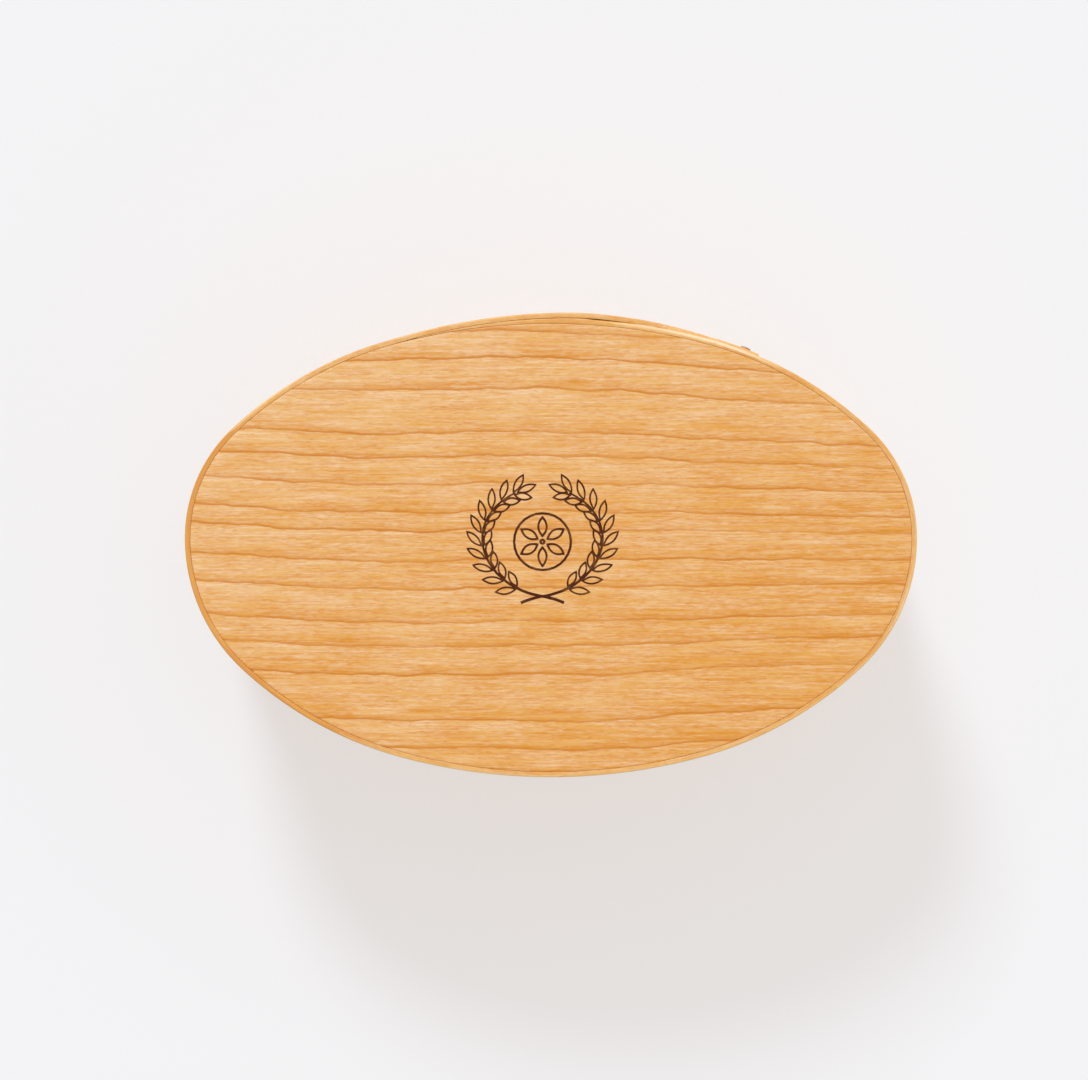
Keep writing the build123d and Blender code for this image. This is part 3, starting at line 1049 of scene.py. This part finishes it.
class OVALBOX_OT_tacks(bpy.types.Operator):
    """Drive the copper tacks through the laps"""

    bl_idname = "ovalbox.tacks"
    bl_label = "Drive the tacks"

    def execute(self, context):
        sizes = context.scene.oval_box_sizes
        copper = hammered_copper("tack_copper", context.scene.oval_box_colours)
        pitch = LID_BASE / BOX_FINGERS
        fingers = [pitch * (k + 0.5) for k in range(BOX_FINGERS)]
        row = spread(fingers[0], fingers[-1], BOX_ROW_TACKS)
        self.drive(sizes, copper, "box", box_oval(sizes), fingers, row)
        middle = (LID_BASE + LID_TOP) / 2
        half = sizes.lid_row_spread / 2
        self.drive(sizes, copper, "lid", lid_oval(sizes), [middle], [middle - half, middle + half])
        return {"FINISHED"}

    @staticmethod
    def drive(sizes, copper, body, oval, fingers, row):
        """Each sort of tack in one piece."""
        root = sizes.finger_tips + sizes.finger_length
        sorts = {
            "finger_tip_tacks": (sizes.finger_tips + sizes.tip_tack, sizes.tack_height, fingers),
            "finger_base_tacks": (root - sizes.base_tack, sizes.lap_tack_height, fingers),
            "lap_row_tacks": (root + sizes.tack_row, sizes.lap_tack_height, row),
        }
        for sort, (place, height, levels) in sorts.items():
            bm = bmesh.new()
            outside = outer_face(sizes, place)
            for level in levels:
                matrix = oval.stand(place, outside, level)
                add_tack(bm, sizes, matrix, height, outside, (place + level) / MM)
            name = f"{body}_{sort}"
            finish_piece(bm, f"{name}_copper", copper, body, "copper", name)


# Pegs


def add_peg(piece, sizes, matrix, length):
    """A whittled peg of eight sides from Z = 0 outwards, its outer end a little rounded."""
    sides = 8
    end_round = 0.12 * MM
    bm = bmesh.new()
    radius = sizes.peg_width / 2 / math.cos(math.pi / sides)
    turned = Matrix.Translation((0, 0, length / 2)) @ Matrix.Rotation(math.pi / sides, 4, "Z")
    bmesh.ops.create_cone(
        bm, cap_ends=True, segments=sides, radius1=radius, radius2=radius, depth=length, matrix=turned,
    )
    ends = [edge for edge in bm.edges if min(vert.co.z for vert in edge.verts) > length / 2]
    round_edges(bm, ends, end_round, segments=2)
    add_part(piece, bm, matrix)


class OVALBOX_OT_pegs(bpy.types.Operator):
    """Set the wooden pegs through each band into its board"""

    bl_idname = "ovalbox.pegs"
    bl_label = "Set the pegs"

    def execute(self, context):
        sizes = context.scene.oval_box_sizes
        wood = end_grain("peg_end_grain", context.scene.oval_box_colours)
        self.set_pegs(sizes, wood, "box", box_oval(sizes), (BOX_BOARD_LOW.z + BOX_BOARD_HIGH.z) / 2)
        self.set_pegs(sizes, wood, "lid", lid_oval(sizes), (LID_BOARD_LOW.z + LID_BOARD_HIGH.z) / 2)
        return {"FINISHED"}

    @staticmethod
    def set_pegs(sizes, wood, body, oval, level):
        """Pegs from behind the fingers round to in front of them, standing a hair proud."""
        proud = 0.05 * MM
        first = sizes.finger_tips + sizes.finger_length + sizes.peg_setback
        last = sizes.finger_tips - sizes.peg_setback + oval.length
        bm = bmesh.new()
        for place in spread(first, last, PEG_COUNT):
            length = sizes.peg_depth + outer_face(sizes, place) + proud
            add_peg(bm, sizes, oval.stand(place, -sizes.peg_depth, level), length)
        finish_piece(bm, f"{body}_whittled_pegs", wood, body, "peg_wood", f"{body}_board_pegs")


# Burned ornament

# Places along a stem, by the angle from where the two stems cross.
STEM_FOOT = math.radians(-19)
FIRST_LEAVES = math.radians(21)
LAST_LEAVES = math.radians(138)
STEM_TIP = math.radians(142)

# The stems lean inwards by the first angle, and their leaves lean away from them by the second.
STEM_TILT = math.radians(9)
LEAF_LEAN = math.radians(34)

LEAF_PAIRS = 10
OUTER_LEAF = 5.6 * MM
INNER_LEAF = 4.8 * MM
TIP_LEAF = 5.4 * MM
LEAF_WIDTH = 2.1 * MM
LEAF_GAP = 0.44 * MM
TIP_GAP = 0.2 * MM

# How wide the lines of each kind are drawn, as shares of the burned line.
LEAF_LINE = 0.75
PETAL_LINE = 0.85
STEM_LINE = 1.24
STEM_TIP_LINE = 0.74

PETALS = 6
PETAL_LENGTH = 5.4 * MM
PETAL_WIDTH = 2.6 * MM
PETAL_OUT = 3.7 * MM
CORE_WIDTH = 1.5 * MM
RING_WIDTH = 14.6 * MM

# Lines that cross lie this far one above the other.
BURN_STEP = 0.004 * MM

# Over this small turn, in radians, a stem counts as straight.
STEM_STEP = 0.01


def add_outline(bm, length, width, line, pointed, matrix):
    """A drawn circle or, pointed, a leaf: an outer and an inner outline, bridged."""
    tip_share = 1.7 if pointed else 1.0
    edges = []
    for inset in (0.0, line):
        shrink = inset * tip_share
        rim = bmesh.ops.create_circle(bm, segments=28, radius=1.0)["verts"]
        for vert in rim:
            sine = vert.co.y * abs(vert.co.y) if pointed else vert.co.y
            vert.co = matrix @ Vector(((length / 2 - shrink) * vert.co.x, (width / 2 - inset) * sine, 0))
        edges += edges_of(rim)
    bmesh.ops.bridge_loops(bm, edges=edges)


def stem_point(sizes, side, angle):
    """A point of one stem, by the angle from where the stems cross. Below 0 it goes on downwards."""
    half_length, half_height = (size / 2 for size in sizes.wreath_size)
    climb = math.copysign(half_height * (1 - math.cos(angle)), angle)
    rise = Matrix.Rotation(STEM_TILT, 3, "Z") @ Vector((half_length * math.sin(angle), climb, 0))
    return Vector((side * rise.x, rise.y - half_height, side * BURN_STEP))


def stem_heading(sizes, side, angle):
    """Which way a stem runs on from this angle."""
    ahead = stem_point(sizes, side, angle + STEM_STEP) - stem_point(sizes, side, angle)
    return math.atan2(ahead.y, ahead.x)


def add_stem(bm, sizes, side):
    """A drawn arc of the wreath, thinning a little towards its tip."""
    grid = bmesh.ops.create_grid(bm, x_segments=40, y_segments=1, size=0.5)["verts"]
    for vert in grid:
        share = vert.co.x + 0.5
        angle = STEM_FOOT + (STEM_TIP - STEM_FOOT) * share
        sideways = outward(stem_heading(sizes, side, angle) - math.pi / 2)
        width = sizes.burned_line * (STEM_LINE + (STEM_TIP_LINE - STEM_LINE) * share)
        vert.co = stem_point(sizes, side, angle) + sideways * vert.co.y * width


def add_leaf(bm, sizes, root, heading, gap, length, lift):
    """A drawn leaf that points away from its root, past a gap."""
    turned = Matrix.Translation(root) @ Matrix.Rotation(heading, 4, "Z")
    away = Matrix.Translation((length / 2 + gap, 0, lift))
    add_outline(bm, length, LEAF_WIDTH, sizes.burned_line * LEAF_LINE, True, turned @ away)


def add_branch(bm, sizes, side):
    """A stem with a longer leaf outside and a shorter one inside at each node, and one at its tip."""
    add_stem(bm, sizes, side)
    for number, angle in enumerate(spread(FIRST_LEAVES, LAST_LEAVES, LEAF_PAIRS)):
        root = stem_point(sizes, side, angle)
        heading = stem_heading(sizes, side, angle)
        for lean in (-1, 1):
            length = OUTER_LEAF if lean * side < 0 else INNER_LEAF
            lift = lean * BURN_STEP * (0.25 + 0.3 * (number % 2))
            add_leaf(bm, sizes, root, heading + lean * LEAF_LEAN, LEAF_GAP, length, lift)
    tip = stem_point(sizes, side, STEM_TIP)
    add_leaf(bm, sizes, tip, stem_heading(sizes, side, STEM_TIP - STEM_STEP), TIP_GAP, TIP_LEAF, 0)


def add_rosette(bm, sizes):
    """Petals round a small core, inside a ring."""
    line = sizes.burned_line
    for number in range(PETALS):
        turn = Matrix.Rotation(2 * math.pi * (number + 0.5) / PETALS, 4, "Z")
        away = Matrix.Translation((PETAL_OUT, 0, 0))
        add_outline(bm, PETAL_LENGTH, PETAL_WIDTH, line * PETAL_LINE, True, turn @ away)
    for width in (CORE_WIDTH, RING_WIDTH):
        add_outline(bm, width, width, line, False, Matrix.Identity(4))


def hand_shake(point):
    """How far a drawn line strays at a point, by noise from two places far apart."""
    wave = 2.2 * MM
    size = 0.07 * MM
    elsewhere = Vector((40, 0, 0))
    return Vector((noise.noise(point / wave), noise.noise(point / wave + elsewhere), 0)) * size


def make_wreath(sizes):
    """Two laurel branches that cross at the foot, round a rosette."""
    bm = bmesh.new()
    for side in (-1, 1):
        add_branch(bm, sizes, side)
    add_rosette(bm, sizes)
    return bm


class OVALBOX_OT_ornament(bpy.types.Operator):
    """Burn a laurel wreath into the lid"""

    bl_idname = "ovalbox.ornament"
    bl_label = "Burn the wreath"

    def execute(self, context):
        sizes = context.scene.oval_box_sizes
        line_height, line_depth = 0.03 * MM, 0.045 * MM
        bm = make_wreath(sizes)
        for vert in bm.verts:
            vert.co += hand_shake(vert.co)
        flat = set(bm.verts)
        bmesh.ops.extrude_face_region(bm, geom=bm.faces[:], use_keep_orig=True)
        raised = [vert for vert in bm.verts if vert not in flat]
        bmesh.ops.translate(bm, verts=raised, vec=(0, 0, line_height))
        centre = (*sizes.wreath_centre, LID_TOP - line_depth)
        turned = Matrix.Translation(centre) @ Matrix.Rotation(math.pi, 4, "Z")
        bmesh.ops.transform(bm, matrix=turned, verts=bm.verts)
        burn = burned_wood("burned_lines", context.scene.oval_box_colours)
        finish_piece(bm, "lid_burned_wreath", burn, "lid", "lid_board_wood")
        return {"FINISHED"}


# Studio


def seen_directly(nodes):
    """1 for what the camera sees itself, in a mirror or through glass, and 0 for all other light."""
    seen = nodes.add("LightPath", {}, {}, "Is Camera Ray")
    for ray in ("Is Glossy Ray", "Is Transmission Ray"):
        seen = seen.most(nodes.add("LightPath", {}, {}, ray))
    return seen


def make_floor(colour, evenness):
    """A level floor. Evenness holds the shares of its colour that shade and glow don't change."""
    reach = 4.0
    drop = 0.05 * MM
    bm = bmesh.new()
    bmesh.ops.create_grid(bm, x_segments=1, y_segments=1, size=reach)
    bmesh.ops.translate(bm, verts=bm.verts, vec=(0, 0, -drop))
    mesh = bpy.data.meshes.new("floor")
    bm.to_mesh(mesh)
    bm.free()
    nodes = Nodes(bpy.data.materials.new("pale_floor"))
    seen = seen_directly(nodes)
    even = [part * share for part, share in zip(colour, evenness)]
    rest = [part * (1 - share) for part, share in zip(colour, evenness)]
    mesh.materials.append(nodes.finish(
        Base_Color=nodes.mix(seen, colour, rest), Roughness=1.0, Specular_IOR_Level=0.0,
        Emission_Color=nodes.mix(seen, (0.0, 0.0, 0.0), even), Emission_Strength=1.0,
    ))
    floor = bpy.data.objects.new("floor", mesh)
    bpy.context.scene.collection.objects.link(floor)


def light_world(scene, studio):
    """Warm white light from all round, stronger at the right, and the ground's colour to look at."""
    scene.world = bpy.data.worlds.new("studio")
    nodes = Nodes(scene.world)
    leftwards, _, _ = nodes.parts(nodes.add("TexCoord", {}, {}, "Generated"))
    strength = (1 - leftwards * studio.fill_lean) * (1 - studio.key_energy)
    fill = nodes.add("Background", {}, {"Color": studio.fill, "Strength": strength}, "Background")
    backdrop = nodes.add("Background", {}, {"Color": studio.ground}, "Background")
    values = {"Fac": seen_directly(nodes), "Shader": fill, "Shader_001": backdrop}
    mixed = nodes.add("MixShader", {}, values, "Shader")
    nodes.feed(nodes.tree.nodes["World Output"].inputs["Surface"], mixed)


def add_key_light(scene, studio):
    """A broad sun that, with the world, lights level ground white, to a strength of one."""
    light = bpy.data.lights.new("key", "SUN")
    light.angle = studio.key_spread
    light.energy = math.pi * studio.key_energy / math.sin(studio.key_elevation)
    light.color = [1 + (1 - part) * (1 - studio.key_energy) / studio.key_energy for part in studio.fill]
    key = bpy.data.objects.new("key", light)
    key.rotation_euler = (math.pi / 2 - studio.key_elevation, 0, studio.key_azimuth + math.pi / 2)
    scene.collection.objects.link(key)


def add_camera(scene, studio):
    """A camera that looks straight down on the lid, with the box's front at the top."""
    camera = bpy.data.objects.new("camera", bpy.data.cameras.new("camera"))
    camera.data.lens = camera.data.sensor_width * studio.camera_height / studio.view_width
    camera.location = (*studio.view_centre, LID_TOP + studio.camera_height)
    camera.rotation_euler = (0, 0, math.pi)
    scene.collection.objects.link(camera)
    scene.camera = camera


class OVALBOX_OT_studio(bpy.types.Operator):
    """Set up the floor, the lights and the camera"""

    bl_idname = "ovalbox.studio"
    bl_label = "Set up the studio"

    def execute(self, context):
        scene = context.scene
        studio = scene.oval_box_studio
        scene.view_settings.view_transform = "Standard"
        make_floor(studio.ground, studio.evenness)
        light_world(scene, studio)
        add_key_light(scene, studio)
        add_camera(scene, studio)
        return {"FINISHED"}


class OVALBOX_PT_panel(bpy.types.Panel):
    """The box's pieces, sizes and colours"""

    bl_idname = "OVALBOX_PT_panel"
    bl_label = "Oval box"
    bl_space_type = "VIEW_3D"
    bl_region_type = "UI"
    bl_category = "Oval box"

    def draw(self, context):
        for operator in OPERATORS:
            self.layout.operator(operator.bl_idname)
        for settings in (
            context.scene.oval_box_sizes,
            context.scene.oval_box_colours,
            context.scene.oval_box_studio,
        ):
            box = self.layout.box()
            for name in type(settings).__annotations__:
                box.prop(settings, name)


OPERATORS = (
    OVALBOX_OT_bands, OVALBOX_OT_boards, OVALBOX_OT_tacks, OVALBOX_OT_pegs, OVALBOX_OT_ornament,
    OVALBOX_OT_studio,
)
SETTINGS = {
    "oval_box_sizes": OvalBoxSizes,
    "oval_box_colours": OvalBoxColours,
    "oval_box_studio": OvalBoxStudio,
}


def register():
    for kind in (*SETTINGS.values(), *OPERATORS, OVALBOX_PT_panel):
        bpy.utils.register_class(kind)
    for name, kind in SETTINGS.items():
        setattr(bpy.types.Scene, name, bpy.props.PointerProperty(type=kind))


def unregister():
    for name in SETTINGS:
        delattr(bpy.types.Scene, name)
    for kind in (OVALBOX_PT_panel, *reversed(OPERATORS), *reversed(SETTINGS.values())):
        bpy.utils.unregister_class(kind)


def main():
    register()
    bpy.ops.ovalbox.bands()
    bpy.ops.ovalbox.boards()
    bpy.ops.ovalbox.tacks()
    bpy.ops.ovalbox.pegs()
    bpy.ops.ovalbox.ornament()
    bpy.ops.ovalbox.studio()


if __name__ == "__main__":
    main()
